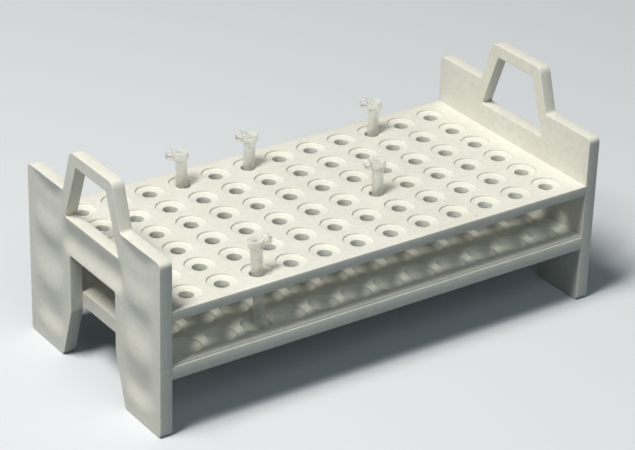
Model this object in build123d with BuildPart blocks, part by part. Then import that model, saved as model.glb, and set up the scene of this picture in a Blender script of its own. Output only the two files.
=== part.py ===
"""Bench rack for small snap-cap tubes, with five tubes standing in it.

Two handled end plates carry a drilled deck and, below it, a shelf of shallow wells. A tube
drops through its hole in the deck and stands on the floor of the well beneath it.

Frame: millimetres, +Z up. The origin is on the floor under the middle of the rack, +X runs
along the twelve columns of places and +Y towards the back row.
"""

import os
from math import atan, cos, degrees, radians, sin

from build123d import *

os.makedirs("parts", exist_ok=True)

# ---- Grid of places -----------------------------------------------------------------------
COLUMNS = 12
ROWS = 6
PITCH = 19.05  # centre to centre, both ways
END_MARGIN = 5.7  # from the outer columns' cells to the end plates
SIDE_MARGIN = 3.35  # from the outer rows' cells to the long edges

LENGTH = COLUMNS * PITCH + 2 * END_MARGIN  # between the end plates
DEPTH = ROWS * PITCH + 2 * SIDE_MARGIN

# ---- Deck and its places ------------------------------------------------------------------
DECK_TOP = 64.6
DECK_THICKNESS = 5.0
DISH_RADIUS = 7.45
DISH_WALL = 0.95  # upright wall below the dish's rim
DISH_FALL = 0.45  # fall of the dish's floor from its wall to the mouth of its hole
HOLE_RADIUS = 3.6
CUT_PAST = 1.0  # how far the cutter of a place runs past the deck's faces
HOLE_MOUTH = 0.4  # bevel round the mouth of the hole

# ---- Shelf and its wells ------------------------------------------------------------------
SHELF_TOP = 36.7
SHELF_THICKNESS = 7.3
SHELF_LEDGE_WIDTH = 1.1  # rebate along the two long top edges
SHELF_LEDGE_DROP = 1.0
WELL_RADIUS = 7.4
WELL_FLOOR_RADIUS = 4.4
WELL_DEPTH = 3.2

# ---- End plates ---------------------------------------------------------------------------
PLATE_THICKNESS = 6.5
SHOULDER_HEIGHT = 90.4
SHOULDER_RADIUS = 2.8
FOOT_RADIUS = 2.2  # outer bottom corners of the legs
EDGE_BREAK = 0.3  # softening of the plate's rims

LEG_GAP_WIDTH = 41.8
LEG_GAP_DROP = 1.6  # the gap's head, below the deck's underside
LEG_GAP_HEAD_RADIUS = 1.3
LEG_KNEE_HEIGHT = 27.0  # below the knees the gap splays
LEG_SPLAY = 8.4  # how far each leg's inner edge runs outwards below its knee
LEG_TOE_RADIUS = 3.0

HANDLE_RISE = 22.6  # above the shoulders
HANDLE_FOOT_WIDTH = 52.4
HANDLE_TOP_WIDTH = 38.0
HANDLE_TOP_RADIUS = 4.0
HANDLE_FOOT_RADIUS = 1.5
HANDLE_BAR = 6.4  # height of the bar across the top
GRIP_SILL_RISE = 12.5  # from the deck's top to the bottom of the grip opening
GRIP_SILL_WIDTH = 49.0
GRIP_HEAD_WIDTH = 27.4
GRIP_RADIUS = 0.8  # corners of the grip opening

# ---- Tongues that seat the deck and the shelf in the end plates ---------------------------
TONGUE_WIDTH = 16.0
TONGUE_THICKNESS = 3.0
TONGUE_LENGTH = 3.0
TONGUE_SIDE_FIT = 0.15  # clearance on each side of a tongue
TONGUE_END_FIT = 0.3  # clearance past its tip

# ---- Tubes, each moulded in one with its strap and snap cap --------------------------------
TUBE_RADIUS = 2.8
TUBE_HEIGHT = 47.8  # foot to the top of the closed cap
TUBE_WALL = 0.5
FOOT_TAPER_HEIGHT = 2.2
TIP_RADIUS = 1.1  # flat tip of the foot
COLLAR_RADIUS = 4.0
COLLAR_HEIGHT = 2.5
CAP_HEIGHT = 1.4
FUNNEL_HEIGHT = 0.8  # flare of the body's mouth below the collar
PLUG_WALL = 0.45
PLUG_DEPTH = 8.0  # the cap's hollow plug, open upwards
STRAP_WIDTH = 3.4
STRAP_THICKNESS = 0.65
STRAP_REACH = 3.6  # from the collar's rim to the outside of the folded strap
STRAP_RISE = 4.0  # outside height of the folded strap, its top level with the cap's
STRAP_FALL = 0.9  # fall of its lower arm from the fold to the body
STRAP_BEND_RADIUS = 1.4
SEAT_GAP = 0.3  # between a tube's foot and the floor of its well

# Each tube's column and row (row 1 is at the back) and the heading of its strap; then how far it
# stands off the middle of its hole, and its lean in degrees, each as (towards SIDE_HEADING,
# towards the heading a quarter turn on from it).
SIDE_HEADING = -35.0
TUBE_PLACES = {
    "tube_1": (4, 1, 145.0, (-0.5, 0.0), (-2.2, 1.0)),
    "tube_2": (6, 1, 145.0, (0.35, 0.3), (1.8, 2.4)),
    "tube_3": (10, 1, 145.0, (0.4, 0.3), (2.0, 2.8)),
    "tube_4": (8, 4, 165.0, (0.5, 0.0), (-0.8, 0.0)),
    "tube_5": (3, 6, -7.0, (0.4, -0.3), (-3.2, -2.4)),
}

# ---- Derived places -----------------------------------------------------------------------
DECK_UNDERSIDE = DECK_TOP - DECK_THICKNESS
SHELF_UNDERSIDE = SHELF_TOP - SHELF_THICKNESS
LEG_GAP_HEAD = DECK_UNDERSIDE - LEG_GAP_DROP
HANDLE_TOP = SHOULDER_HEIGHT + HANDLE_RISE
GRIP_SILL = DECK_TOP + GRIP_SILL_RISE
GRIP_HEAD = HANDLE_TOP - HANDLE_BAR
TONGUE_Y = (DEPTH + LEG_GAP_WIDTH) / 4  # the middle of each leg
DECK_MIDDLE = DECK_TOP - DECK_THICKNESS / 2
SHELF_MIDDLE = SHELF_TOP - SHELF_THICKNESS / 2
MOUTH_RIM = DECK_TOP - DISH_WALL - DISH_FALL
WELL_FLOOR = SHELF_TOP - WELL_DEPTH


def end_plate(inner_face, direction):
    """One handled end plate, from its inner face outwards along `direction` (+1 or -1 in X)."""
    outer_side = [
        (DEPTH / 2, 0, FOOT_RADIUS),
        (DEPTH / 2, SHOULDER_HEIGHT, SHOULDER_RADIUS),
        (HANDLE_FOOT_WIDTH / 2, SHOULDER_HEIGHT, HANDLE_FOOT_RADIUS),
        (HANDLE_TOP_WIDTH / 2, HANDLE_TOP, HANDLE_TOP_RADIUS),
    ]
    gap_side = [
        (LEG_GAP_WIDTH / 2, LEG_GAP_HEAD, LEG_GAP_HEAD_RADIUS),
        (LEG_GAP_WIDTH / 2, LEG_KNEE_HEIGHT, 0),
        (LEG_GAP_WIDTH / 2 + LEG_SPLAY, 0, LEG_TOE_RADIUS),
    ]
    outline = outer_side + mirrored(outer_side) + mirrored(gap_side) + gap_side
    grip_side = [
        (GRIP_SILL_WIDTH / 2, GRIP_SILL, GRIP_RADIUS),
        (GRIP_HEAD_WIDTH / 2, GRIP_HEAD, GRIP_RADIUS),
    ]
    grip = grip_side + mirrored(grip_side)
    with BuildPart() as plate:
        with BuildSketch(Plane.YZ.offset(inner_face)):
            with BuildLine():
                FilletPolyline([c[:2] for c in outline], radius=[c[2] for c in outline], close=True)
            make_face()
            with BuildLine():
                FilletPolyline([c[:2] for c in grip], radius=[c[2] for c in grip], close=True)
            make_face(mode=Mode.SUBTRACT)
        extrude(amount=direction * PLATE_THICKNESS)
        chamfer(plate.faces().filter_by(Axis.X).edges(), length=EDGE_BREAK)
        with BuildSketch(Plane.YZ.offset(inner_face)):
            for z in (DECK_MIDDLE, SHELF_MIDDLE):
                with Locations((-TONGUE_Y, z), (TONGUE_Y, z)):
                    Rectangle(
                        TONGUE_WIDTH + 2 * TONGUE_SIDE_FIT,
                        TONGUE_THICKNESS + 2 * TONGUE_SIDE_FIT,
                    )
        extrude(amount=direction * (TONGUE_LENGTH + TONGUE_END_FIT), mode=Mode.SUBTRACT)
    return plate.part


def mirrored(side):
    """The corners of one half of a profile, mirrored to the other half and run back the other way."""
    return [(-y, z, radius) for y, z, radius in reversed(side)]


def tube_base(column, row, strap_heading, offset, lean):
    """The plane at a tube's foot: local Z up the leaning tube, local X the way its strap points."""
    side = Vector(cos(radians(SIDE_HEADING)), sin(radians(SIDE_HEADING)), 0)
    onward = Vector(-side.Y, side.X, 0)
    up = side * sin(radians(lean[0])) + onward * sin(radians(lean[1])) + Vector(0, 0, 1)
    up = up.normalized()
    across = Vector(cos(radians(strap_heading)), sin(radians(strap_heading)), 0)
    middle = Vector(
        (column - (COLUMNS + 1) / 2) * PITCH,
        ((ROWS + 1) / 2 - row) * PITCH,
        DECK_MIDDLE,
    )
    in_hole = middle + side * offset[0] + onward * offset[1]
    foot = in_hole - up * ((DECK_MIDDLE - WELL_FLOOR - SEAT_GAP) / up.Z)
    return Plane(origin=foot, x_dir=across - up * across.dot(up), z_dir=up)


def snap_cap_tube(base):
    """A tube with its cap pressed home and its strap folded, standing on the plane `base`."""
    collar_foot = TUBE_HEIGHT - CAP_HEIGHT - COLLAR_HEIGHT
    plug_floor = TUBE_HEIGHT - PLUG_DEPTH
    bore = TUBE_RADIUS - TUBE_WALL
    funnel_radius = (TUBE_RADIUS + COLLAR_RADIUS) / 2
    section = Plane(origin=base.origin, x_dir=base.x_dir, z_dir=-base.y_dir)
    axis = Axis(base.origin, base.z_dir)
    with BuildPart() as tube:
        # the body, collar and cap
        with BuildSketch(section):
            with BuildLine():
                Polyline(
                    (0, 0),
                    (TIP_RADIUS, 0),
                    (TUBE_RADIUS, FOOT_TAPER_HEIGHT),
                    (TUBE_RADIUS, collar_foot - FUNNEL_HEIGHT),
                    (funnel_radius, collar_foot),
                    (COLLAR_RADIUS, collar_foot),
                    (COLLAR_RADIUS, TUBE_HEIGHT),
                    (0, TUBE_HEIGHT),
                    close=True,
                )
            make_face()
        revolve(axis=axis)
        # the strap, folded out from the collar and back to the cap
        fold_x = COLLAR_RADIUS + STRAP_REACH - STRAP_THICKNESS / 2
        fold_head = TUBE_HEIGHT - STRAP_THICKNESS / 2
        fold_foot = TUBE_HEIGHT - STRAP_RISE + STRAP_THICKNESS / 2
        with BuildSketch(section):
            with BuildLine():
                FilletPolyline(
                    (COLLAR_RADIUS - STRAP_THICKNESS, fold_head),
                    (fold_x, fold_head),
                    (fold_x, fold_foot),
                    (TUBE_RADIUS - TUBE_WALL / 2, fold_foot - STRAP_FALL),
                    radius=STRAP_BEND_RADIUS,
                )
            trace(line_width=STRAP_THICKNESS)
        extrude(amount=STRAP_WIDTH / 2, both=True)
        # the hollow of the plug, and the room inside the body below it
        with BuildSketch(section):
            with Locations((0, plug_floor)):
                Rectangle(bore - PLUG_WALL, PLUG_DEPTH, align=(Align.MIN, Align.MIN))
            with BuildLine():
                Polyline(
                    (0, TUBE_WALL),
                    (TIP_RADIUS, TUBE_WALL),
                    (bore, FOOT_TAPER_HEIGHT),
                    (bore, plug_floor - PLUG_WALL),
                    (0, plug_floor - PLUG_WALL),
                    close=True,
                )
            make_face()
        revolve(axis=axis, mode=Mode.SUBTRACT)
    return tube.part


# The room of one place in the deck: an upright wall, a gently falling floor, a bevelled mouth and
# a through hole
with BuildPart() as place:
    with BuildSketch(Plane.XZ):
        with BuildLine():
            Polyline(
                (0, DECK_UNDERSIDE - CUT_PAST),
                (HOLE_RADIUS, DECK_UNDERSIDE - CUT_PAST),
                (HOLE_RADIUS, MOUTH_RIM - HOLE_MOUTH),
                (HOLE_RADIUS + HOLE_MOUTH, MOUTH_RIM),
                (DISH_RADIUS, DECK_TOP - DISH_WALL),
                (DISH_RADIUS, DECK_TOP + CUT_PAST),
                (0, DECK_TOP + CUT_PAST),
                close=True,
            )
        make_face()
    revolve(axis=Axis.Z)

with BuildPart() as deck:
    with BuildSketch(Plane.XY.offset(DECK_UNDERSIDE)):
        Rectangle(LENGTH, DEPTH)
    extrude(amount=DECK_THICKNESS)
    with GridLocations(PITCH, PITCH, COLUMNS, ROWS):
        add(place.part, mode=Mode.SUBTRACT)
    for end in (-1, 1):
        with BuildSketch(Plane.YZ.offset(end * LENGTH / 2)):
            with Locations((-TONGUE_Y, DECK_MIDDLE), (TONGUE_Y, DECK_MIDDLE)):
                Rectangle(TONGUE_WIDTH, TONGUE_THICKNESS)
        extrude(amount=end * TONGUE_LENGTH)

with BuildPart() as shelf:
    with BuildSketch(Plane.XY.offset(SHELF_UNDERSIDE)):
        Rectangle(LENGTH, DEPTH)
    extrude(amount=SHELF_THICKNESS - SHELF_LEDGE_DROP)
    with BuildSketch(Plane.XY.offset(SHELF_TOP - SHELF_LEDGE_DROP)):
        Rectangle(LENGTH, DEPTH - 2 * SHELF_LEDGE_WIDTH)
    extrude(amount=SHELF_LEDGE_DROP)
    with BuildSketch(Plane.XY.offset(SHELF_TOP)):
        with GridLocations(PITCH, PITCH, COLUMNS, ROWS):
            Circle(WELL_RADIUS)
    extrude(
        amount=-WELL_DEPTH,
        taper=degrees(atan((WELL_RADIUS - WELL_FLOOR_RADIUS) / WELL_DEPTH)),
        mode=Mode.SUBTRACT,
    )
    for end in (-1, 1):
        with BuildSketch(Plane.YZ.offset(end * LENGTH / 2)):
            with Locations((-TONGUE_Y, SHELF_MIDDLE), (TONGUE_Y, SHELF_MIDDLE)):
                Rectangle(TONGUE_WIDTH, TONGUE_THICKNESS)
        extrude(amount=end * TONGUE_LENGTH)

pieces = {
    "tube_deck": deck.part,
    "well_shelf": shelf.part,
    "end_plate_left": end_plate(-LENGTH / 2, -1),
    "end_plate_right": end_plate(LENGTH / 2, 1),
}
for name, standing in TUBE_PLACES.items():
    pieces[name] = snap_cap_tube(tube_base(*standing))

for name, piece in pieces.items():
    piece.label = name
    export_step(piece, f"parts/{name}.step")
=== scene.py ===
"""Looks of a bench rack for small snap-cap tubes: moulded end plates, deck, shelf and tubes.

Lengths are in metres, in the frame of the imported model: +X along the twelve columns of places,
+Y towards the back row, +Z up, with the origin on the floor under the middle of the rack.
"""

from __future__ import annotations

import logging
import math
from dataclasses import dataclass
from enum import Enum
from typing import Callable, Iterable

import bmesh
import bpy
from mathutils import Matrix, Quaternion, Vector, noise
from mathutils.geometry import intersect_point_line


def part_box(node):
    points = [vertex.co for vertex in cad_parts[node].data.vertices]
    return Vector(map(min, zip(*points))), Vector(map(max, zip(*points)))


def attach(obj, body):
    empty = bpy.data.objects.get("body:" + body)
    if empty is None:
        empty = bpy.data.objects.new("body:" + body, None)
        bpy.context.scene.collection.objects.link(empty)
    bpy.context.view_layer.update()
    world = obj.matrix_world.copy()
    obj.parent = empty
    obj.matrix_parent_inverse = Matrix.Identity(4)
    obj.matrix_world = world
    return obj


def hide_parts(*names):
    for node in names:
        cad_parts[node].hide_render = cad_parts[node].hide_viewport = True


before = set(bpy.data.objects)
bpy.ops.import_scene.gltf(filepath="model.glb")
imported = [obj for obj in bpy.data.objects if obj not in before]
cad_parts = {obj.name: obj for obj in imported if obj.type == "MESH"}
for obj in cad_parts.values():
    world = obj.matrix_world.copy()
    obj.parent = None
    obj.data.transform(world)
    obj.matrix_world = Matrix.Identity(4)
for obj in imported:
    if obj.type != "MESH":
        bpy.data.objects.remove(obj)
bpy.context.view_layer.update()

log = logging.getLogger("tube_rack")

MM = 0.001
COLUMNS = 12
ROWS = 6
PITCH = 19.05 * MM
MERGE = 1e-6  # points nearer than this are one
SEAM = 5 * MERGE  # the same, along the seams of a repeated cell
CREASE = math.radians(38)  # faces that meet at a sharper bend are shaded apart
OUTLINE = 1.0  # edges that bend by more than this, in radians, are a moulding's outline
ROUND_STEPS = 4  # segments to a rounded corner of a profile
ACROSS = Vector((1, 0, 0))
BACK = Vector((0, 1, 0))
UP = Vector((0, 0, 1))


class End(Enum):
    """Which end of the rack a plate stands at; the value is the sign of its X."""

    LEFT = -1
    RIGHT = 1


def ease(share: float) -> float:
    """Runs from 0 to 1 with the share, level at both ends."""
    return share * share * (3 - 2 * share)


def held(value: float) -> float:
    """The value, held between 0 and 1."""
    return min(max(value, 0.0), 1.0)


# ---- Shader nodes --------------------------------------------------------------------------

EVEN = 0.5  # what a noise is on average
NOISE_SPAN = (0.3, 0.7)  # where nearly all of a noise lies
POLYPROPYLENE_IOR = 1.49


class Signal:
    """A shader output that can be reckoned with: each operation adds a Math node."""

    def __init__(self, recipe: Recipe, socket: bpy.types.NodeSocket) -> None:
        """Wraps one socket of a recipe's node tree."""
        self.recipe = recipe
        self.socket = socket

    def _reckon(self, operation: str, first: Signal | float, second: Signal | float) -> Signal:
        """Adds a Math node.

        Args:
            operation: the Math node's operation.
            first: its first value.
            second: its second value.

        Returns:
            The node's result.
        """
        return self.recipe.node("ShaderNodeMath", {"operation": operation}, {0: first, 1: second})

    def __add__(self, other: Signal | float) -> Signal:
        """self + other."""
        return self._reckon("ADD", self, other)

    __radd__ = __add__

    def __sub__(self, other: Signal | float) -> Signal:
        """self - other."""
        return self._reckon("SUBTRACT", self, other)

    def __rsub__(self, other: float) -> Signal:
        """other - self."""
        return self._reckon("SUBTRACT", other, self)

    def __mul__(self, other: Signal | float) -> Signal:
        """self * other."""
        return self._reckon("MULTIPLY", self, other)

    def __pow__(self, power: float) -> Signal:
        """self ** power."""
        return self._reckon("POWER", self, power)

    def below(self, limit: float) -> Signal:
        """1 where the signal is under the limit, and 0 elsewhere."""
        return self._reckon("LESS_THAN", self, limit)

    def above(self, limit: float) -> Signal:
        """1 where the signal is over the limit, and 0 elsewhere."""
        return self._reckon("GREATER_THAN", self, limit)


class Recipe:
    """A material's node tree while it is being mixed."""

    def __init__(self, name: str) -> None:
        """Starts an empty material.

        Args:
            name: the material's name.
        """
        self.material = bpy.data.materials.new(name)
        self.material.use_nodes = True
        self.tree = self.material.node_tree
        self.tree.nodes.clear()

    def node(
        self,
        kind: str,
        settings: dict[str, object] | None = None,
        inputs: dict[str | int, object] | None = None,
        output: str | int = 0,
    ) -> Signal:
        """Adds one node, sets it and wires its inputs.

        Args:
            kind: the node's type.
            settings: its properties, set before its sockets.
            inputs: value, colour or Signal for each socket, by name or number.
            output: which output to hand on.

        Returns:
            The chosen output.
        """
        made = self.tree.nodes.new(kind)
        for key, value in (settings or {}).items():
            setattr(made, key, value)
        for key, value in (inputs or {}).items():
            if isinstance(value, Signal):
                self.tree.links.new(value.socket, made.inputs[key])
            else:
                made.inputs[key].default_value = value
        return Signal(self, made.outputs[output])

    def place(self) -> Signal:
        """The point on the object, in metres."""
        return self.node("ShaderNodeTexCoord", output="Object")

    def noise(self, at: Signal, scale: float, detail: float = 2.0, rough: float = 0.5) -> Signal:
        """Noise of `scale` cells to the metre, about 0.5 on average."""
        inputs = {"Vector": at, "Scale": scale, "Detail": detail, "Roughness": rough}
        return self.node("ShaderNodeTexNoise", inputs=inputs)

    def blend(self, share: Signal, low: tuple | Signal, high: tuple) -> Signal:
        """A colour that runs between two others.

        Args:
            share: how far it has run, from 0 to 1.
            low: the colour at 0, or another blend.
            high: the colour at 1.

        Returns:
            The blended colour.
        """
        first = low if isinstance(low, Signal) else (*low, 1.0)
        # the Mix node's colours are its sockets 6 and 7, and output 2
        inputs = {0: share, 6: first, 7: (*high, 1.0)}
        return self.node("ShaderNodeMix", {"data_type": "RGBA"}, inputs, output=2)

    def span(self, signal: Signal, low: float, high: float, to: tuple = (0.0, 1.0)) -> Signal:
        """Maps low..high of a signal to the two values of `to`, and holds them outside."""
        inputs = {0: signal, 1: low, 2: high, 3: to[0], 4: to[1]}
        return self.node("ShaderNodeMapRange", {"clamp": True}, inputs)

    def bump(self, height: Signal, strength: float, distance: float) -> Signal:
        """The normal of a surface roughened by `height`."""
        inputs = {"Strength": strength, "Distance": distance, "Height": height}
        return self.node("ShaderNodeBump", inputs=inputs, output="Normal")

    def coat_with(self, surface: Signal) -> bpy.types.Material:
        """Sends a surface shader to the output.

        Args:
            surface: the shader.

        Returns:
            The finished material.
        """
        output = self.tree.nodes.new("ShaderNodeOutputMaterial")
        self.tree.links.new(surface.socket, output.inputs["Surface"])
        return self.material


@dataclass(frozen=True)
class RackPlastic:
    """Off-white polypropylene with a satin skin: cloudy, faintly scuffed, with stray specks."""

    name: str = "rack_polypropylene"
    shade: tuple[float, float, float] = (0.740, 0.729, 0.650)
    light: tuple[float, float, float] = (0.803, 0.791, 0.718)
    tone_span: tuple[float, float] = (0.30, 0.70)
    cloud_scale: float = 26.0
    mottle_scale: float = 330.0
    mottle_share: float = 1.1
    grain_scale: float = 2600.0
    grain_share: float = 0.5
    peel_scale: float = 420.0
    roughness: tuple[float, float] = (0.36, 0.50)
    scuff: tuple[float, float, float] = (0.60, 0.60, 0.56)
    scuff_scale: tuple[float, float, float] = (330.0, 60.0, 210.0)
    scuff_turn: tuple[float, float, float] = (0.4, 0.7, 0.9)
    scuff_span: tuple[float, float] = (0.66, 0.74)
    scuff_ground: tuple[float, float] = (0.45, 0.60)
    scuff_cover: float = 0.5
    scuff_dulling: float = 0.12
    speck: tuple[float, float, float] = (0.20, 0.19, 0.16)
    speck_scale: float = 95.0
    speck_size: float = 0.045
    speck_cover: float = 0.8
    patch_scale: float = 31.0
    patch_limit: float = 0.64
    pin_mark: tuple[float, float, float] | None = None
    pin_radius: float = 2.5 * MM
    pin_line: float = 0.03
    # how far the ring's line darkens the tone: painted shade of the pin's groove
    pin_painted_shade: float = 1.1
    pin_groove: float = 0.8
    peel_relief: float = 0.7
    grain_relief: float = 0.3
    skin_strength: float = 0.10
    skin_depth: float = 0.4 * MM

    def pin_ring(self, mix: Recipe, at: Signal) -> Signal | float:
        """The faint ring that an ejector pin has left: a shallow groove in the bump, and a line
        darkened in the tone with painted shade.

        Args:
            mix: the material's recipe.
            at: the point on the object.

        Returns:
            1 on the ring's line and 0 off it, or 0 for a moulding without one.
        """
        if self.pin_mark is None:
            return 0.0
        ends = {0: at, 1: self.pin_mark}
        reach = mix.node("ShaderNodeVectorMath", {"operation": "DISTANCE"}, ends, output="Value")
        off = (reach - self.pin_radius) * (1 / self.pin_radius)
        return mix.span(off * off, 0.0, self.pin_line, (1.0, 0.0))

    def scuffs(self, mix: Recipe, at: Signal, cloud: Signal) -> Signal:
        """Short faint strokes of wear.

        Args:
            mix: the material's recipe.
            at: the point on the object.
            cloud: the broad noise that keeps the strokes in patches.

        Returns:
            1 in a stroke and 0 outside them.
        """
        turned = {"Vector": at, "Rotation": self.scuff_turn, "Scale": self.scuff_scale}
        stroke = mix.noise(mix.node("ShaderNodeMapping", inputs=turned), 1.0)
        return mix.span(stroke, *self.scuff_span) * mix.span(cloud, *self.scuff_ground)

    def specks(self, mix: Recipe, at: Signal) -> Signal:
        """Stray dark specks in the plastic.

        Args:
            mix: the material's recipe.
            at: the point on the object.

        Returns:
            1 in a speck and 0 outside them.
        """
        cells = {"Vector": at, "Scale": self.speck_scale}
        spot = mix.node("ShaderNodeTexVoronoi", inputs=cells, output="Distance")
        patch = mix.noise(at, self.patch_scale, detail=1.0).above(self.patch_limit)
        return spot.below(self.speck_size) * patch

    def material(self) -> bpy.types.Material:
        """Mixes the finish.

        Returns:
            The material.
        """
        mix = Recipe(self.name)
        at = mix.place()
        ring = self.pin_ring(mix, at)
        cloud = mix.noise(at, self.cloud_scale, detail=4.0, rough=0.55)
        mottle = mix.noise(at, self.mottle_scale, detail=3.0, rough=0.6)
        peel = mix.noise(at, self.peel_scale)
        grain = mix.noise(at, self.grain_scale, detail=3.0, rough=0.6)
        uneven = (mottle - EVEN) * self.mottle_share + (grain - EVEN) * self.grain_share
        # the pin ring's line is darkened in the tone here: painted shade of its groove
        tone = mix.span(cloud + (uneven - ring * self.pin_painted_shade), *self.tone_span)
        worn = self.scuffs(mix, at, cloud)
        body = mix.blend(tone, self.shade, self.light)
        body = mix.blend(worn * self.scuff_cover, body, self.scuff)
        relief = peel * self.peel_relief + grain * self.grain_relief - ring * self.pin_groove
        satin = mix.span(peel, *NOISE_SPAN, self.roughness)
        surface = mix.node(
            "ShaderNodeBsdfPrincipled",
            {"subsurface_method": "RANDOM_WALK"},
            {
                "Base Color": mix.blend(self.specks(mix, at) * self.speck_cover, body, self.speck),
                "Roughness": satin + worn * self.scuff_dulling,
                "Normal": mix.bump(relief, self.skin_strength, self.skin_depth),
                "IOR": POLYPROPYLENE_IOR,
                "Subsurface Weight": 0.12,
                "Subsurface Radius": (1.0, 0.95, 0.8),
                "Subsurface Scale": 2.5 * MM,
            },
        )
        return mix.coat_with(surface)


class Skin(Enum):
    """Which skin of a tube a vertex lies on: (milkiness face on, milkiness at a grazing eye)."""

    WALL = (0.34, 0.66)
    NECK = (0.40, 0.74)
    LUMEN = (0.06, 0.10)
    SEAT = (0.18, 0.30)
    PLUG = (0.20, 0.32)
    HEAD = (0.40, 0.84)
    STRAP = (0.42, 0.88)


@dataclass(frozen=True)
class TubePlastic:
    """Natural polypropylene in a thin wall: milky, see-through face on and dense at its edges."""

    name: str = "tube_polypropylene"
    milk: tuple[float, float, float] = (0.93, 0.90, 0.805)
    clear: tuple[float, float, float] = (0.95, 0.93, 0.86)
    roughness: tuple[float, float] = (0.14, 0.26)
    cloud_scale: float = 120.0
    cloud_share: float = 0.14
    draw_scale: float = 240.0
    draw_strength: float = 0.03
    draw_depth: float = 0.2 * MM
    edge_narrowing: float = 1.6

    def material(self) -> bpy.types.Material:
        """Mixes the finish.

        Returns:
            The material.
        """
        mix = Recipe(self.name)
        at = mix.place()
        cloud = mix.noise(at, self.cloud_scale, detail=1.0, rough=0.4)
        draw = mix.noise(at, self.draw_scale, detail=1.0)
        face = mix.node("ShaderNodeAttribute", {"attribute_name": "face_milk"}, output="Fac")
        graze = mix.node("ShaderNodeAttribute", {"attribute_name": "edge_milk"}, output="Fac")
        facing = mix.node("ShaderNodeLayerWeight", inputs={"Blend": 0.5}, output="Facing")
        edge = facing**self.edge_narrowing
        cloudy = (1 - self.cloud_share * EVEN) + cloud * self.cloud_share
        dense = face * cloudy * (1 - edge) + graze * edge
        surface = mix.node(
            "ShaderNodeBsdfPrincipled",
            {"subsurface_method": "RANDOM_WALK"},
            {
                "Base Color": mix.blend(cloud, self.milk, self.clear),
                "Roughness": mix.span(draw, *NOISE_SPAN, self.roughness),
                "Alpha": dense,
                "Normal": mix.bump(draw, self.draw_strength, self.draw_depth),
                "IOR": POLYPROPYLENE_IOR,
                "Subsurface Weight": 0.6,
                "Subsurface Radius": (1.0, 0.97, 0.9),
                "Subsurface Scale": 3.0 * MM,
            },
        )
        return mix.coat_with(surface)


@dataclass(frozen=True)
class PaleFloor:
    """Matt pale paper: `seen` is its colour to the eye, `colour` what it lights its room with."""

    name: str = "pale_paper"
    colour: tuple[float, float, float] = (0.13, 0.16, 0.18)
    seen: tuple[float, float, float] = (0.70, 0.725, 0.76)
    tooth_scale: float = 900.0
    tooth_strength: float = 0.05
    tooth_depth: float = 0.2 * MM

    def material(self) -> bpy.types.Material:
        """Mixes the finish.

        Returns:
            The material.
        """
        mix = Recipe(self.name)
        tooth = mix.noise(mix.place(), self.tooth_scale, detail=3.0)
        seen = mix.node("ShaderNodeLightPath", output="Is Camera Ray")
        seen = seen + mix.node("ShaderNodeLightPath", output="Is Glossy Ray")
        seen = seen + mix.node("ShaderNodeLightPath", output="Is Transmission Ray")
        surface = mix.node(
            "ShaderNodeBsdfPrincipled",
            inputs={
                "Base Color": mix.blend(seen, self.colour, self.seen),
                "Roughness": 0.85,
                "Normal": mix.bump(tooth, self.tooth_strength, self.tooth_depth),
                "Specular IOR Level": 0.2,
            },
        )
        return mix.coat_with(surface)


# ---- Modelling -----------------------------------------------------------------------------


@dataclass(frozen=True)
class Corner:
    """One corner of a profile: its two coordinates and the radius that it is rounded to."""

    across: float
    up: float
    radius: float = 0.0


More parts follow.
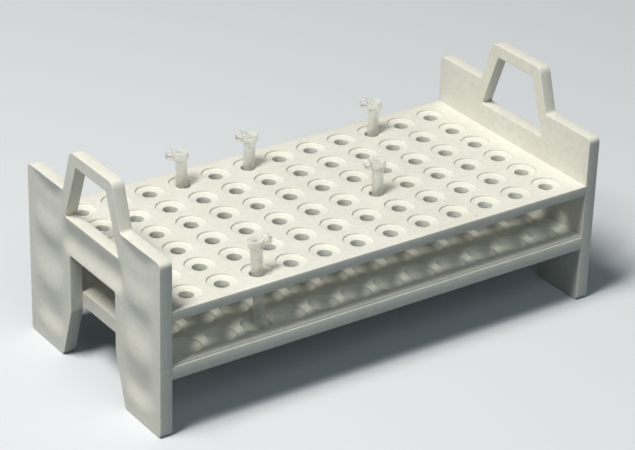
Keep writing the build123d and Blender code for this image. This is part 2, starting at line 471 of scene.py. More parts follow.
class Moulding:
    """A bmesh under the modeller's hands, and the object that it becomes."""

    def __init__(self) -> None:
        """Starts an empty mesh."""
        self.mesh = bmesh.new()

    def wire(self, corners: list[Corner], axes: tuple[Vector, Vector], closed: bool) -> list:
        """Draws a profile and rounds its corners.

        Args:
            corners: its corners in order.
            axes: the directions of `across` and `up`.
            closed: whether the last corner joins the first.

        Returns:
            The profile's vertices, edges and, when closed, its one face.
        """
        verts = [self.mesh.verts.new(axes[0] * c.across + axes[1] * c.up) for c in corners]
        if closed:
            self.mesh.faces.new(verts)
        else:
            for first, second in zip(verts, verts[1:]):
                self.mesh.edges.new((first, second))
        span = range(len(corners)) if closed else range(1, len(corners) - 1)
        cuts = [(verts[i], self._tangent(corners, i)) for i in span if corners[i].radius > 0]
        for vert, cut in cuts:
            bmesh.ops.bevel(
                self.mesh,
                geom=[vert],
                offset=cut,
                offset_type="OFFSET",
                segments=ROUND_STEPS,
                profile=0.5,
                affect="VERTICES",
                material=-1,
            )
        return [*self.mesh.verts, *self.mesh.edges, *self.mesh.faces]

    @staticmethod
    def _tangent(corners: list[Corner], i: int) -> float:
        """Works out how far from a corner its rounding starts.

        Args:
            corners: the profile.
            i: the corner's place in it.

        Returns:
            The distance.
        """
        here, last, after = corners[i], corners[i - 1], corners[(i + 1) % len(corners)]
        way_in = Vector((here.across - last.across, here.up - last.up)).normalized()
        way_out = Vector((after.across - here.across, after.up - here.up)).normalized()
        return here.radius * math.tan(way_in.angle(way_out) / 2)

    def turn(self, steps: int) -> None:
        """Spins everything drawn so far once round the Z axis.

        Args:
            steps: the segments of the full turn.
        """
        geom = [*self.mesh.verts, *self.mesh.edges]
        bmesh.ops.spin(
            self.mesh,
            geom=geom,
            cent=(0, 0, 0),
            axis=(0, 0, 1),
            angle=math.tau,
            steps=steps,
            use_merge=True,
        )
        self.tidy()

    def tidy(self) -> None:
        """Merges doubles and turns the faces outwards."""
        bmesh.ops.remove_doubles(self.mesh, verts=self.mesh.verts, dist=MERGE)
        bmesh.ops.recalc_face_normals(self.mesh, faces=self.mesh.faces)

    def rim(self, height: float | None = None) -> list[bmesh.types.BMEdge]:
        """Finds the open edges.

        Args:
            height: the height that they lie at, if only those are wanted.

        Returns:
            The edges.
        """
        rims = [e for e in self.mesh.edges if e.is_boundary]
        if height is None:
            return rims
        return [e for e in rims if all(abs(v.co.z - height) < MERGE for v in e.verts)]

    def grow(
        self, edges: list[bmesh.types.BMEdge], place: Callable[[Vector], Vector]
    ) -> list[bmesh.types.BMEdge]:
        """Extrudes open edges and moves the new ones.

        Args:
            edges: the edges to extrude.
            place: where a point of theirs goes.

        Returns:
            The new open edges.
        """
        made = bmesh.ops.extrude_edge_only(self.mesh, edges=edges)["geom"]
        for vert in (g for g in made if isinstance(g, bmesh.types.BMVert)):
            vert.co = place(vert.co)
        return [g for g in made if isinstance(g, bmesh.types.BMEdge)]

    def soften(self, edges: Iterable[bmesh.types.BMEdge], radius: float, steps: int = 2) -> None:
        """Rounds edges.

        Args:
            edges: the edges.
            radius: the radius to round them to.
            steps: the segments of the rounding.
        """
        bmesh.ops.bevel(
            self.mesh,
            geom=list(edges),
            offset=radius,
            offset_type="OFFSET",
            segments=steps,
            profile=0.5,
            affect="EDGES",
            clamp_overlap=True,
            material=-1,
        )

    def mark(self, skin_of: Callable[[Vector], Skin]) -> None:
        """Writes how milky each vertex looks, face on and at its edges.

        Args:
            skin_of: which skin a point lies on.
        """
        layers = self.mesh.verts.layers.float
        face, edge = layers.new("face_milk"), layers.new("edge_milk")
        for vert in self.mesh.verts:
            vert[face], vert[edge] = skin_of(vert.co).value

    def finish(
        self, name: str, material: bpy.types.Material, slot: str, node: str
    ) -> bpy.types.Object:
        """Makes the object, shades it smooth up to the crease angle and hangs it on the rack.

        Args:
            name: the piece's name.
            material: its finish.
            slot: the record's material slot; not used.
            node: the CAD node that it stands for.

        Returns:
            The object.
        """
        data = bpy.data.meshes.new(name)
        self.mesh.to_mesh(data)
        self.mesh.free()
        data.materials.append(material)
        data.shade_smooth()
        data.set_sharp_from_angle(angle=CREASE)
        made = bpy.data.objects.new(name, data)
        bpy.context.scene.collection.objects.link(made)
        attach(made, "root")
        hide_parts(node)
        log.info("%s: %d faces", name, len(data.polygons))
        return made


@dataclass(frozen=True)
class SinkCurve:
    """How deep a moulded face has sunk: a smooth curve through knots of (height, depth) in mm."""

    knots: tuple[tuple[float, float], ...]

    def depth(self, z: float) -> float:
        """Reads the curve.

        Args:
            z: the height, in metres.

        Returns:
            The depth there, in metres; none outside the knots.
        """
        at = z / MM
        if not self.knots[0][0] < at < self.knots[-1][0]:
            return 0.0
        i = max(k for k, knot in enumerate(self.knots) if knot[0] <= at)
        (start, low), (stop, high) = self.knots[i], self.knots[i + 1]
        span = stop - start
        t = (at - start) / span
        rise = (2 * t - 3) * t * t
        ends = low * (1 + rise) - high * rise
        bends = (t * (1 - t) ** 2) * self._slope(i) - (t * t * (1 - t)) * self._slope(i + 1)
        return (ends + bends * span) * MM

    def _slope(self, i: int) -> float:
        """The curve's slope at knot `i`, from the knots on either side of it."""
        (start, low), *_, (stop, high) = self.knots[max(i - 1, 0) : i + 2]
        return (high - low) / (stop - start)


@dataclass
class EndPlate:
    """One handled end plate: legs, crossbar, shoulders and a handle with its grip opening."""

    end: End
    node: str
    finish: bpy.types.Material
    shoulder: float = 90.4 * MM
    gap_half: float = 20.9 * MM
    gap_head: float = 58.0 * MM
    knee: float = 27.0 * MM
    splay: float = 8.4 * MM
    handle_foot_half: float = 26.2 * MM
    handle_top_half: float = 19.0 * MM
    sill: float = 77.1 * MM
    sill_half: float = 24.5 * MM
    head_half: float = 13.7 * MM
    bar: float = 6.4 * MM
    shoulder_round: float = 2.8 * MM
    foot_round: float = 2.2 * MM
    toe_round: float = 3.0 * MM
    handle_round: float = 4.0 * MM
    handle_foot_round: float = 1.5 * MM
    gap_round: float = 1.3 * MM
    grip_round: float = 0.8 * MM
    edge: float = 0.24 * MM
    face_band: float = 0.096 * MM
    cell: float = 1.4 * MM
    cell_clear: float = 0.3
    rim_land: float = 1.8 * MM
    leg_middle: float = 41.0 * MM
    leg_half: float = 12.0 * MM
    smile: float = 2.6 * MM
    bar_half: float = 30.0 * MM
    bar_fade: float = 8.0 * MM
    waver: float = 0.10 * MM
    waver_scale: float = 85.0
    waver_apart: float = 7.3
    sinking: float = 1.40
    leg_sink: SinkCurve = SinkCurve(
        (
            (0, 0.08), (6.5, 0.10), (8.5, 0.22), (11, 0.68), (13.5, 1.14), (16, 1.38),
            (18.5, 1.36), (22, 1.08), (26, 0.68), (29.5, 0.30), (32, 0.10), (34.5, 0.12),
            (38, 0.40), (42, 0.94), (45, 1.30), (48, 1.44), (51, 1.38), (54, 1.08),
            (57, 0.62), (59.5, 0.28), (62, 0.20), (65, 0.30), (68, 0.56), (71, 0.84),
            (73.5, 0.90), (78, 0.96), (82, 1.06), (84.5, 0.92), (87.5, 0.38), (89.8, 0.0),
        )
    )
    bar_sink: SinkCurve = SinkCurve(
        (
            (58, 0.0), (59.5, 0.24), (61.5, 0.76), (63.5, 1.20), (65.5, 1.44), (67.5, 1.42),
            (70, 1.12), (72.5, 0.68), (75, 0.22), (77, 0.0),
        )
    )

    def profile(self) -> list[Corner]:
        """Draws the plate's back half, from the middle of its handle down and round to it.

        Returns:
            Its corners.
        """
        low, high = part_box(self.node)
        depth, top = high.y, high.z
        return [
            Corner(0, top),
            Corner(self.handle_top_half, top, self.handle_round),
            Corner(self.handle_foot_half, self.shoulder, self.handle_foot_round),
            Corner(depth, self.shoulder, self.shoulder_round),
            Corner(depth, low.z, self.foot_round),
            Corner(self.gap_half + self.splay, low.z, self.toe_round),
            Corner(self.gap_half, self.knee),
            Corner(self.gap_half, self.gap_head, self.gap_round),
            Corner(0, self.gap_head),
            Corner(0, self.sill),
            Corner(self.sill_half, self.sill, self.grip_round),
            Corner(self.head_half, top - self.bar, self.grip_round),
            Corner(0, top - self.bar),
        ]

    def rim_distance(self, y: float, z: float, corners: list[Corner]) -> float:
        """Measures how far a point of the plate's face is from its nearest rim.

        Args:
            y: the point's Y.
            z: its height.
            corners: the plate's back half.

        Returns:
            The distance.
        """
        here = Vector((abs(y), z, 0))
        gaps = []
        for a, b in zip(corners, corners[1:] + corners[:1]):
            if a.across == b.across == 0:
                continue
            one, two = Vector((a.across, a.up, 0)), Vector((b.across, b.up, 0))
            _, share = intersect_point_line(here, one, two)
            gaps.append((here - one.lerp(two, held(share))).length)
        return min(gaps)

    def hollow(self, y: float, z: float, corners: list[Corner]) -> float:
        """Works out how deep the moulding has sunk at a point of the outer face.

        Args:
            y: the point's Y.
            z: its height.
            corners: the plate's back half.

        Returns:
            The depth.
        """
        land = held(self.rim_distance(y, z, corners) / self.rim_land)
        off = (abs(y) - self.leg_middle) / self.leg_half
        leg = self.leg_sink.depth(z - self.smile * off * off) * math.exp(-(off**4))
        bar = self.bar_sink.depth(z) * ease(held((self.bar_half - abs(y)) / self.bar_fade))
        at = Vector((y, z, 0)) * self.waver_scale + UP * self.end.value * self.waver_apart
        depth = max(leg, bar) * self.sinking + self.waver * (1 + noise.noise(at))
        return max(depth * ease(land), 0.0)

    def build(self) -> bpy.types.Object:
        """Models the plate, sinks its outer face and rounds its edges.

        Returns:
            The plate's object.
        """
        low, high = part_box(self.node)
        thick = high.x - low.x
        corners = self.profile()
        shape = Moulding()
        shape.wire(corners, (BACK, UP), closed=True)
        mesh = shape.mesh
        bmesh.ops.mirror(
            mesh, geom=[*mesh.verts, *mesh.edges, *mesh.faces], axis="Y", merge_dist=MERGE
        )
        bmesh.ops.recalc_face_normals(mesh, faces=mesh.faces)
        made = bmesh.ops.extrude_face_region(mesh, geom=mesh.faces)["geom"]
        for vert in (g for g in made if isinstance(g, bmesh.types.BMVert)):
            vert.co.x += thick
        shape.tidy()
        bent = [e for e in mesh.edges if e.calc_face_angle(0) > OUTLINE]
        rims = [e for e in bent if abs(e.verts[0].co.x - e.verts[1].co.x) < MERGE]
        shape.soften(rims, self.edge, 3)
        self._grid(mesh, high)
        for vert in mesh.verts:
            if vert.co.x < self.face_band:
                vert.co.x += self.hollow(vert.co.y, vert.co.z, corners)
        # modelled with its outer face at x = 0 and facing -X, as at the left end
        place = Matrix.Translation((low.x, 0, 0))
        if self.end is End.RIGHT:
            place = Matrix.Translation((high.x, 0, 0)) @ Matrix.Rotation(math.pi, 4, "Z")
        bmesh.ops.transform(mesh, matrix=place, verts=mesh.verts)
        return shape.finish(f"{self.node}_moulding", self.finish, "rack_plastic", self.node)

    def _grid(self, mesh: bmesh.types.BMesh, high: Vector) -> None:
        """Cuts the plate's faces into cells small enough to take the sink marks.

        Args:
            mesh: the plate.
            high: the top corner of its box.
        """
        cuts = [((0, y * self.cell, 0), (0, 1, 0)) for y in self._steps(-high.y, high.y)]
        cuts += [((0, 0, z * self.cell), (0, 0, 1)) for z in self._steps(0.0, high.z)]
        for point, normal in cuts:
            bmesh.ops.bisect_plane(
                mesh,
                geom=[*mesh.verts, *mesh.edges, *mesh.faces],
                dist=MERGE,
                plane_co=point,
                plane_no=normal,
            )

    def _steps(self, start: float, stop: float) -> range:
        """Counts the cuts between two places, keeping part of a cell clear of either."""
        first = math.ceil(start / self.cell + self.cell_clear)
        return range(first, math.floor(stop / self.cell - self.cell_clear) + 1)


@dataclass
class PlaceGrid:
    """A slab with a round place in each cell of the grid: the base of the deck and the shelf."""

    node: str
    finish: bpy.types.Material
    turns: int = 40
    length: float = 240.0 * MM

    def cell(self, shape: Moulding, corners: list[Corner]) -> None:
        """Models one cell: its round place, and the flat around it out to the cell's square.

        Args:
            shape: the mesh to model in.
            corners: the place's section, from its outer ring inwards.
        """
        shape.wire(corners, (ACROSS, UP), closed=False)
        shape.turn(self.turns)
        half = PITCH / 2

        def to_square(point: Vector) -> Vector:
            """A point of a ring, moved straight out to the cell's square."""
            scale = half / max(abs(point.x), abs(point.y))
            return Vector((point.x * scale, point.y * scale, point.z))

        shape.grow(shape.rim(), to_square)

    def repeat(self, shape: Moulding) -> None:
        """Repeats the one cell over the grid and joins the copies.

        Args:
            shape: the mesh that holds the cell.
        """
        mesh = shape.mesh
        first = [*mesh.verts, *mesh.edges, *mesh.faces]
        for column in range(COLUMNS):
            for row in range(ROWS):
                made = bmesh.ops.duplicate(mesh, geom=first)["geom"]
                moved = [g for g in made if isinstance(g, bmesh.types.BMVert)]
                bmesh.ops.translate(mesh, verts=moved, vec=self.centre(column + 1, row + 1, 0.0))
        gone = [g for g in first if isinstance(g, bmesh.types.BMVert)]
        bmesh.ops.delete(mesh, geom=gone, context="VERTS")
        bmesh.ops.remove_doubles(mesh, verts=mesh.verts, dist=SEAM)

    @staticmethod
    def centre(column: int, row: int, height: float) -> Vector:
        """Finds the middle of a place.

        Args:
            column: its column, from 1 at -X.
            row: its row, from 1 at the back.
            height: the Z wanted.

        Returns:
            The point.
        """
        x = (column - (COLUMNS + 1) / 2) * PITCH
        y = ((ROWS + 1) / 2 - row) * PITCH
        return Vector((x, y, height))

    @staticmethod
    def outward(half_x: float, half_y: float, height: float) -> Callable[[Vector], Vector]:
        """A mover for the slab's outline.

        Args:
            half_x: where the points of the outline's ends go.
            half_y: where the points of its long sides go.
            height: where they all go in Z.

        Returns:
            The function that moves one point.
        """
        end, side = COLUMNS * PITCH / 2 - MERGE, ROWS * PITCH / 2 - MERGE

        def move(point: Vector) -> Vector:
            """Moves one point of the outline.

            Args:
                point: where it is.

            Returns:
                Where it goes.
            """
            x = math.copysign(half_x, point.x) if abs(point.x) >= end else point.x
            y = math.copysign(half_y, point.y) if abs(point.y) >= side else point.y
            return Vector((x, y, height))

        return move

    @staticmethod
    def in_grid(edge: bmesh.types.BMEdge) -> bool:
        """Whether an edge lies within the grid of cells."""
        reach_x, reach_y = COLUMNS * PITCH / 2 + MERGE, ROWS * PITCH / 2 + MERGE
        return all(abs(v.co.x) <= reach_x and abs(v.co.y) <= reach_y for v in edge.verts)

    @staticmethod
    def long_edges(shape: Moulding, half_y: float, height: float) -> list[bmesh.types.BMEdge]:
        """Finds the edges along the slab's long sides.

        Args:
            shape: the slab.
            half_y: how far from its middle they lie.
            height: their height.

        Returns:
            The edges.
        """

        def on_line(edge: bmesh.types.BMEdge) -> bool:
            """Tells whether an edge lies on the wanted line.

            Args:
                edge: the edge.

            Returns:
                True if it does.
            """
            a, b = (v.co for v in edge.verts)
            level = abs(a.z - height) < MERGE and abs(b.z - height) < MERGE
            return level and abs(abs(a.y) - half_y) < MERGE and abs(a.y - b.y) < MERGE

        return [e for e in shape.mesh.edges if on_line(e)]


@dataclass
class TubeDeck(PlaceGrid):
    """The upper deck: each place a walled dish that falls gently to a round-mouthed hole."""

    dish: float = 7.45 * MM
    dish_land: tuple[float, float] = (0.3 * MM, 1.2 * MM)
    dish_round: float = 0.10 * MM
    wall: float = 0.95 * MM
    wall_draft: float = 0.05 * MM
    wall_foot_round: float = 0.22 * MM
    fall: float = 0.45 * MM
    hole: float = 3.6 * MM
    mouth: float = 0.35 * MM
    mouth_round: float = 0.3 * MM
    under_round: float = 0.22 * MM
    under_land: tuple[float, float] = (0.5 * MM, 1.4 * MM)
    edge: float = 0.30 * MM

    def section(self, top: float, bottom: float) -> list[Corner]:
        """Draws the section of a place.

        Args:
            top: the height of the deck's top.
            bottom: the height of its underside.

        Returns:
            The corners, from the flat round the dish in and down to the underside.
        """
        floor = top - self.wall
        neck = floor - self.fall
        near, far = self.dish_land
        under_near, under_far = self.under_land
        return [
            Corner(self.dish + far, top),
            Corner(self.dish + near, top),
            Corner(self.dish, top, self.dish_round),
            Corner(self.dish - self.wall_draft, floor, self.wall_foot_round),
            Corner(self.hole + self.mouth, neck, self.mouth_round),
            Corner(self.hole, neck - self.mouth, self.mouth_round),
            Corner(self.hole, bottom, self.under_round),
            Corner(self.hole + under_near, bottom),
            Corner(self.hole + under_far, bottom),
        ]

    def build(self) -> bpy.types.Object:
        """Models the deck.

        Returns:
            The deck's object.
        """
        low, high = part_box(self.node)
        top, bottom = high.z, low.z
        shape = Moulding()
        self.cell(shape, self.section(top, bottom))
        self.repeat(shape)
        half_x, half_y = self.length / 2, high.y
        edges = shape.grow(shape.rim(top), self.outward(half_x, half_y, top))
        shape.grow(edges, lambda p: Vector((p.x, p.y, bottom)))
        under = [e for e in shape.rim(bottom) if self.in_grid(e)]
        shape.grow(under, self.outward(half_x, half_y, bottom))
        shape.tidy()
        shape.soften(self.long_edges(shape, half_y, top), self.edge, 3)
        shape.soften(self.long_edges(shape, half_y, bottom), self.edge)
        return shape.finish("deck_moulding", self.finish, "rack_plastic", self.node)


@dataclass
class WellShelf(PlaceGrid):
    """The lower shelf: a round-bottomed well under each hole, and rebated long top edges."""

    ledge: float = 1.1 * MM
    drop: float = 1.0 * MM
    ledge_edge: float = 0.16 * MM
    foot_edge: float = 0.20 * MM
    well: float = 7.4 * MM
    well_land: tuple[float, float] = (0.45 * MM, 1.2 * MM)
    well_round: float = 0.16 * MM
    deep: float = 3.2 * MM
    wall_draft: float = 0.35 * MM
    wall_depth: float = 0.46
    wall_foot_round: float = 1.4 * MM
    bowl_reach: float = 0.66
    bowl_depth: float = 0.92
    bowl_round: float = 3.0 * MM
    floor_reach: float = 0.20
    floor_round: float = 1.6 * MM

    def section(self, top: float) -> list[Corner]:
        """Draws the section of a well; its depths and reaches are shares of the whole well's.

        Args:
            top: the height of the shelf's top.

        Returns:
            The corners, from the flat round the well in to its middle.
        """
        near, far = self.well_land
        floor = top - self.deep
        return [
            Corner(self.well + far, top),
            Corner(self.well + near, top),
            Corner(self.well, top, self.well_round),
            Corner(
                self.well - self.wall_draft,
                top - self.deep * self.wall_depth,
                self.wall_foot_round,
            ),
            Corner(self.well * self.bowl_reach, top - self.deep * self.bowl_depth, self.bowl_round),
            Corner(self.well * self.floor_reach, floor, self.floor_round),
            Corner(0.0, floor),
        ]

    def build(self) -> bpy.types.Object:
        """Models the shelf.

        Returns:
            The shelf's object.
        """
        low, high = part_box(self.node)
        top, bottom = high.z, low.z
        step = top - self.drop
        shape = Moulding()
        self.cell(shape, self.section(top))
        self.repeat(shape)
        half_x, half_y = self.length / 2, high.y
        flat_y = half_y - self.ledge
        edges = shape.grow(shape.rim(), self.outward(half_x, flat_y, top))
        edges = shape.grow(edges, lambda p: Vector((p.x, p.y, step)))
        edges = shape.grow(edges, self.outward(half_x, half_y, step))
        edges = shape.grow(edges, lambda p: Vector((p.x, p.y, bottom)))
        bmesh.ops.contextual_create(shape.mesh, geom=edges)
        shape.tidy()
        # the short ends have no rebate, so its step leaves faces without area there
        bmesh.ops.dissolve_degenerate(shape.mesh, dist=MERGE, edges=shape.mesh.edges)
        shape.soften(self.long_edges(shape, flat_y, top), self.ledge_edge)
        shape.soften(self.long_edges(shape, half_y, step), self.ledge_edge)
        shape.soften(self.long_edges(shape, half_y, bottom), self.foot_edge)
        return shape.finish("shelf_moulding", self.finish, "rack_plastic", self.node)


@dataclass(frozen=True)
class Standing:
    """Where a tube stands and how it leans, with angles in degrees.

    `offset` and `lean` are each towards the rack's side heading and a quarter turn on from it.
    """

    node: str
    column: int
    row: int
    strap_heading: float
    offset: tuple[float, float]
    lean: tuple[float, float]


@dataclass
class SnapCapTube:
    """One small tube with its snap cap closed and its strap folded, moulded in one."""

    standing: Standing
    finish: bpy.types.Material
    turns: int = 40
    height: float = 47.8 * MM
    wall: float = 0.48 * MM
    seat_gap: float = 0.3 * MM
    side_heading: float = -35.0
    # the body and its neck, which steps out a little where the plug's foot ends
    radius: float = 2.8 * MM
    waist: float = 0.5
    waist_round: float = 20.0 * MM
    foot_radius: float = 2.45 * MM
    foot_height: float = 1.9 * MM
    foot_round: float = 2.4 * MM
    tip_radius: float = 1.3475 * MM
    tip_round: float = 1.0 * MM
    neck_radius: float = 2.98 * MM
    neck_step: float = 0.03 * MM
    neck_round: float = 0.7 * MM
    step_foot: float = 0.75 * MM
    step_top: float = 0.55 * MM
    # the collar, and the seam between it and the cap
    collar_radius: float = 4.0 * MM
    collar: float = 2.5 * MM
    collar_lip: float = 0.1 * MM
    collar_foot_round: float = 0.6 * MM
    collar_round: float = 0.4 * MM
    funnel: float = 0.8 * MM
    seam_drop: float = 0.5 * MM
    seam_depth: float = 0.22 * MM
    seam_rise: float = 0.25 * MM
    seam_round: float = 0.25 * MM
    # the cap, the bowl in its top and the hollow of its plug
    cap: float = 1.4 * MM
    cap_inset: float = 0.06 * MM
    cap_foot_round: float = 0.2 * MM
    cap_round: float = 0.45 * MM
    bowl_flare: float = 0.95 * MM
    bowl_depth: float = 1.9 * MM
    bowl_round: float = 0.35 * MM
    bowl_foot_round: float = 1.2 * MM
    plug_bore: float = 1.85 * MM
    plug_depth: float = 8.0 * MM
    plug_taper: float = 0.9 * MM
    plug_foot_round: float = 0.9 * MM
    plug_tip: float = 0.6
    plug_tip_round: float = 0.8 * MM
    skin_slack: float = 0.1 * MM
    head_share: float = 0.6
    # the room inside, up to the underside of the plug
    lumen_floor: float = 0.624 * MM
    lumen_tip: float = 0.98 * MM
    lumen_tip_round: float = 0.6 * MM
    lumen_foot: float = 2.2 * MM
    lumen_foot_round: float = 2.0 * MM
    lumen_swell: tuple[float, float] = (0.08 * MM, 0.12 * MM)
    plug_floor: float = 0.45 * MM
    seat_side: float = 0.25 * MM
    seat_round: float = 0.3 * MM
    seat_reach: float = 0.7
    seat_bend: float = 0.9 * MM
    seat_dip: float = 0.3 * MM
    seat_band: float = 0.5 * MM
    # the strap
    strap_width: float = 3.4 * MM
    strap_thick: float = 0.65 * MM
    strap_root: float = 0.5 * MM
    strap_sink: float = 0.15 * MM
    strap_lift: float = 0.9 * MM
    strap_reach: float = 3.9 * MM
    strap_arch: float = 1.2 * MM
    strap_rise: float = 4.0 * MM
    strap_fall: float = 0.9 * MM
    strap_bend: float = 1.6 * MM
    strap_foot_bend: float = 1.9 * MM
    strap_edge: float = 0.14 * MM

    def placing(self) -> Matrix:
        """Works out how the tube stands in the rack.

        Returns:
            The turn and shift from an upright tube at the origin to its place.
        """
        deck_low, deck_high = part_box("tube_deck")
        shelf_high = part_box("well_shelf")[1]
        to_side = Matrix.Rotation(math.radians(self.side_heading), 3, "Z")
        lean = (math.sin(math.radians(a)) for a in self.standing.lean)
        up = (to_side @ Vector((*lean, 1.0))).normalized()
        heading = math.radians(self.standing.strap_heading)
        across = Vector((math.cos(heading), math.sin(heading), 0))
        across = (across - up * across.dot(up)).normalized()
        middle = (deck_low.z + deck_high.z) / 2
        hole = PlaceGrid.centre(self.standing.column, self.standing.row, middle)
        hole += to_side @ Vector((*self.standing.offset, 0.0))
        well_floor = shelf_high.z - WellShelf.deep
        foot = hole - up * ((hole.z - well_floor - self.seat_gap) / up.z)
        turn = Matrix((across, up.cross(across), up)).transposed().to_4x4()
        return Matrix.Translation(foot) @ turn

    def body_profile(self, plug_foot: float, under: float) -> list[Corner]:
        """Draws the outside of the foot, the body and the neck.

        Args:
            plug_foot: the height of the plug's foot.
            under: the height of the collar's underside.

        Returns:
            The corners, from the middle of the foot up.
        """
        return [
            Corner(0.0, 0.0),
            Corner(self.tip_radius, 0.0, self.tip_round),
            Corner(self.foot_radius, self.foot_height, self.foot_round),
            Corner(self.radius, self.height * self.waist, self.waist_round),
            Corner(self.neck_radius - self.neck_step, plug_foot - self.step_foot),
            Corner(self.neck_radius, plug_foot - self.step_top),
            Corner(self.neck_radius, under - self.funnel, self.neck_round),
        ]

    def head_profile(self, plug_foot: float, under: float) -> list[Corner]:
        """Draws the collar, the cap, the bowl in its top and the hollow of its plug.

        Args:
            plug_foot: the height of the plug's foot.
            under: the height of the collar's underside.

        Returns:
            The corners, from the collar's underside up, over and down to the plug's foot.
        """
        mouth = under + self.collar
        cap_radius = self.collar_radius - self.cap_inset
        return [
            Corner(self.collar_radius, under + self.collar_lip, self.collar_foot_round),
            Corner(self.collar_radius, mouth - self.seam_drop, self.collar_round),
            Corner(self.collar_radius - self.seam_depth, mouth, self.seam_round),
            Corner(cap_radius, mouth + self.seam_rise, self.cap_foot_round),
            Corner(cap_radius, self.height, self.cap_round),
            Corner(self.plug_bore + self.bowl_flare, self.height, self.bowl_round),
            Corner(self.plug_bore, self.height - self.bowl_depth, self.bowl_foot_round),
            Corner(self.plug_bore, plug_foot + self.plug_taper, self.plug_foot_round),
            Corner(self.plug_bore * self.plug_tip, plug_foot, self.plug_tip_round),
            Corner(0.0, plug_foot),
        ]

    def shell(self) -> Moulding:
        """Models the outside: round foot, body, neck, collar, cap and the hollow of its plug.

        Returns:
            The shell, upright at the origin.
        """
        shape = Moulding()
        under = self.height - self.cap - self.collar
        plug_foot = self.height - self.plug_depth
        corners = self.body_profile(plug_foot, under) + self.head_profile(plug_foot, under)
        shape.wire(corners, (ACROSS, UP), closed=False)
        shape.turn(self.turns)
        bore = self.plug_bore + self.skin_slack
        step = plug_foot - (self.step_foot + self.step_top) / 2

        def skin_of(point: Vector) -> Skin:
            """Tells the plug's bore, the head, the plugged neck and the outer wall apart.

            Args:
                point: a point of the shell.

            Returns:
                The skin that it lies on.
            """
            if point.xy.length < bore and point.z > plug_foot - self.skin_slack:
                return Skin.PLUG
            if point.z > under - self.funnel * self.head_share:
                return Skin.HEAD
            return Skin.NECK if point.z > step else Skin.WALL

        shape.mark(skin_of)
        return shape

    def lumen(self) -> Moulding:
        """Models the room inside the body, below the plug.

        Returns:
            The room's skin, upright at the origin.
        """
        shape = Moulding()
        inner = self.radius - self.wall
        waist_swell, neck_swell = self.lumen_swell
        seat = self.height - self.plug_depth - self.plug_floor
        corners = [
            Corner(0.0, self.lumen_floor),
            Corner(self.lumen_tip, self.lumen_floor, self.lumen_tip_round),
            Corner(self.foot_radius - self.wall, self.lumen_foot, self.lumen_foot_round),
            Corner(inner + waist_swell, self.height * self.waist),
            Corner(inner + neck_swell, seat + self.seat_side, self.seat_round),
            Corner(inner * self.seat_reach, seat - self.seat_side, self.seat_bend),
            Corner(0.0, seat - self.seat_dip),
        ]
        shape.wire(corners, (ACROSS, UP), closed=False)
        shape.turn(self.turns)
        bmesh.ops.reverse_faces(shape.mesh, faces=shape.mesh.faces)
        shape.mark(lambda p: Skin.SEAT if p.z > seat - self.seat_band else Skin.LUMEN)
        return shape

    def strap(self) -> Moulding:
        """Models the strap, folded out from the collar and back to the cap.

        Returns:
            The strap, towards +X.
        """
        shape = Moulding()
        half_thick = self.strap_thick / 2
        fold = self.collar_radius + self.strap_reach - half_thick
        over = self.height - self.strap_sink - half_thick
        arch = over + self.strap_arch
        below = self.height - self.strap_rise + half_thick
        corners = [
            Corner(self.collar_radius - self.strap_root, over),
            Corner(self.collar_radius + self.strap_lift, arch, self.strap_bend),
            Corner(fold, arch, self.strap_bend),
            Corner(fold, below, self.strap_foot_bend),
            Corner(self.neck_radius, below - self.strap_fall),
        ]
        shape.wire(corners, (ACROSS, UP), closed=False)
        mesh = shape.mesh
        bmesh.ops.translate(mesh, verts=mesh.verts, vec=BACK * -self.strap_width / 2)
        shape.grow(list(mesh.edges), lambda p: p + BACK * self.strap_width)
        bmesh.ops.recalc_face_normals(mesh, faces=mesh.faces)
        bmesh.ops.solidify(mesh, geom=list(mesh.faces), thickness=self.strap_thick)
        shape.tidy()
        sides = [e for e in mesh.edges if e.calc_face_angle(0) > OUTLINE]
        shape.soften(sides, self.strap_edge)
        shape.mark(lambda _: Skin.STRAP)
        return shape

    def build(self) -> bpy.types.Object:
        """Models the tube's forms as one piece and stands it in its place.

        Returns:
            The tube's object.
        """
        whole = Moulding()
        for part in (self.shell(), self.lumen(), self.strap()):
            form = bpy.data.meshes.new("form")
            part.mesh.to_mesh(form)
            part.mesh.free()
            whole.mesh.from_mesh(form)
            bpy.data.meshes.remove(form)
        bmesh.ops.transform(whole.mesh, matrix=self.placing(), verts=whole.mesh.verts)
        name = f"{self.standing.node}_moulding"
        return whole.finish(name, self.finish, "tube_plastic", self.standing.node)


# ---- Studio --------------------------------------------------------------------------------

MIDDLE = (0.0, 0.0, 0.05)


@dataclass(frozen=True)
class Lamp:
    """An oblong soft box; `turn` is how far it is turned about its own axis, in degrees."""

    name: str
    at: tuple[float, float, float]
    aim: tuple[float, float, float]
    size: tuple[float, float]
    turn: float
    watts: float
    colour: tuple[float, float, float] = (1.0, 1.0, 1.0)

    def hang(self) -> None:
        """Hangs the lamp and turns it to its aim."""
        data = bpy.data.lights.new(self.name, "AREA")
        data.shape = "RECTANGLE"
        data.size, data.size_y = self.size
        data.energy = self.watts
        data.color = self.colour
        made = bpy.data.objects.new(self.name, data)
        made.location = self.at
        way = Vector(self.aim) - Vector(self.at)
        facing = way.to_track_quat("-Z", "Y") @ Quaternion((0, 0, 1), math.radians(self.turn))
        made.rotation_euler = facing.to_euler()
        bpy.context.scene.collection.objects.link(made)


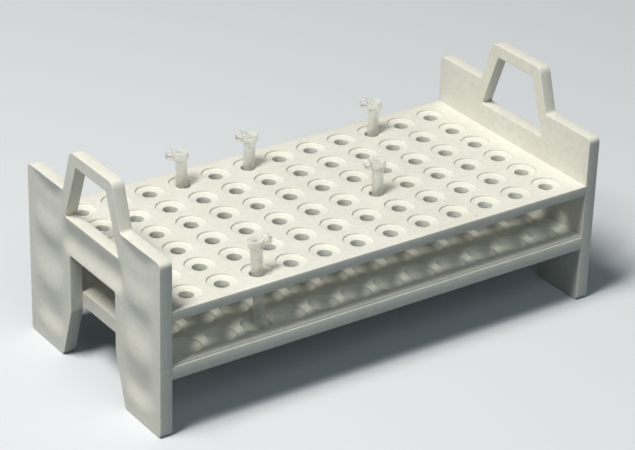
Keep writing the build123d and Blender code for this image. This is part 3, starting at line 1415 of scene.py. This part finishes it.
@dataclass
class Studio:
    """A pale floor, soft lamps, an even pale surround and the camera."""

    floor_half: float = 6.0
    surround: float = 0.09
    surround_colour: tuple[float, float, float] = (0.74, 0.90, 1.0)
    azimuth: float = -35.30
    elevation: float = 27.29
    roll: float = 1.68
    distance: float = 1.1796
    aim_height: float = 0.0628
    shift_right: float = 0.00038
    shift_up: float = -0.01219
    lens: float = 136.86
    film: float = 36.0
    lamps: tuple[Lamp, ...] = (
        Lamp("key", (-0.90, -0.09, 1.99), MIDDLE, (0.45, 1.0), 24.0, 51.0, (1.0, 0.978, 0.925)),
        Lamp("fill", (-0.2, -1.4, 1.35), MIDDLE, (1.0, 1.0), 0.0, 4.2, (0.80, 0.92, 1.0)),
    )

    def lay_floor(self) -> None:
        """Lays the floor that the rack stands on."""
        mesh = bmesh.new()
        bmesh.ops.create_grid(mesh, x_segments=1, y_segments=1, size=self.floor_half)
        data = bpy.data.meshes.new("floor")
        mesh.to_mesh(data)
        mesh.free()
        data.materials.append(PaleFloor().material())
        floor = bpy.data.objects.new("floor", data)
        bpy.context.scene.collection.objects.link(floor)

    def light(self) -> None:
        """Hangs the lamps and sets the surround."""
        for lamp in self.lamps:
            lamp.hang()
        world = bpy.data.worlds.new("surround")
        world.use_nodes = True
        ground = world.node_tree.nodes["Background"]
        ground.inputs["Color"].default_value = (*self.surround_colour, 1.0)
        ground.inputs["Strength"].default_value = self.surround
        bpy.context.scene.world = world

    def set_camera(self) -> None:
        """Sets the camera up on its bearing and aims it at the rack."""
        az, el, roll = (math.radians(a) for a in (self.azimuth, self.elevation, self.roll))
        back = Vector((math.sin(az) * math.cos(el), -math.cos(az) * math.cos(el), math.sin(el)))
        right = Vector((math.cos(az), math.sin(az), 0))
        up = back.cross(right)
        level = right * math.cos(roll) + up * math.sin(roll)
        upright = up * math.cos(roll) - right * math.sin(roll)
        data = bpy.data.cameras.new("camera")
        data.lens = self.lens
        data.sensor_width = self.film
        camera = bpy.data.objects.new("camera", data)
        camera.matrix_world = Matrix((level, upright, back)).transposed().to_4x4()
        aim = Vector((0, 0, self.aim_height))
        camera.location = aim + back * self.distance + right * self.shift_right + up * self.shift_up
        bpy.context.scene.collection.objects.link(camera)
        bpy.context.scene.camera = camera

    def build(self) -> None:
        """Readies the whole studio."""
        self.lay_floor()
        self.light()
        self.set_camera()
        bpy.context.scene.view_settings.view_transform = "Standard"


PIN_MARK = (-125.6 * MM, -34.3 * MM, 77.0 * MM)

STANDINGS = (
    Standing("tube_1", 4, 1, 145.0, (-0.50 * MM, 0.0), (-2.2, 1.0)),
    Standing("tube_2", 6, 1, 145.0, (0.35 * MM, 0.30 * MM), (1.8, 2.4)),
    Standing("tube_3", 10, 1, 145.0, (0.40 * MM, 0.30 * MM), (2.0, 2.8)),
    Standing("tube_4", 8, 4, 165.0, (0.50 * MM, 0.0), (-0.8, 0.0)),
    Standing("tube_5", 3, 6, -7.0, (0.40 * MM, -0.30 * MM), (-3.2, -2.4)),
)


def main() -> None:
    """Builds the rack, the tubes in it and the studio."""
    logging.basicConfig(level=logging.INFO, format="%(name)s: %(message)s")
    rack = RackPlastic().material()
    # the left plate's finish: the pin ring's groove, with painted shade darkening its line
    marked = RackPlastic("rack_polypropylene_pin_painted_shade", pin_mark=PIN_MARK).material()
    tube = TubePlastic().material()
    EndPlate(End.LEFT, "end_plate_left", marked).build()
    EndPlate(End.RIGHT, "end_plate_right", rack).build()
    TubeDeck("tube_deck", rack).build()
    WellShelf("well_shelf", rack).build()
    for standing in STANDINGS:
        SnapCapTube(standing, tube).build()
    Studio().build()


if __name__ == "__main__":
    main()
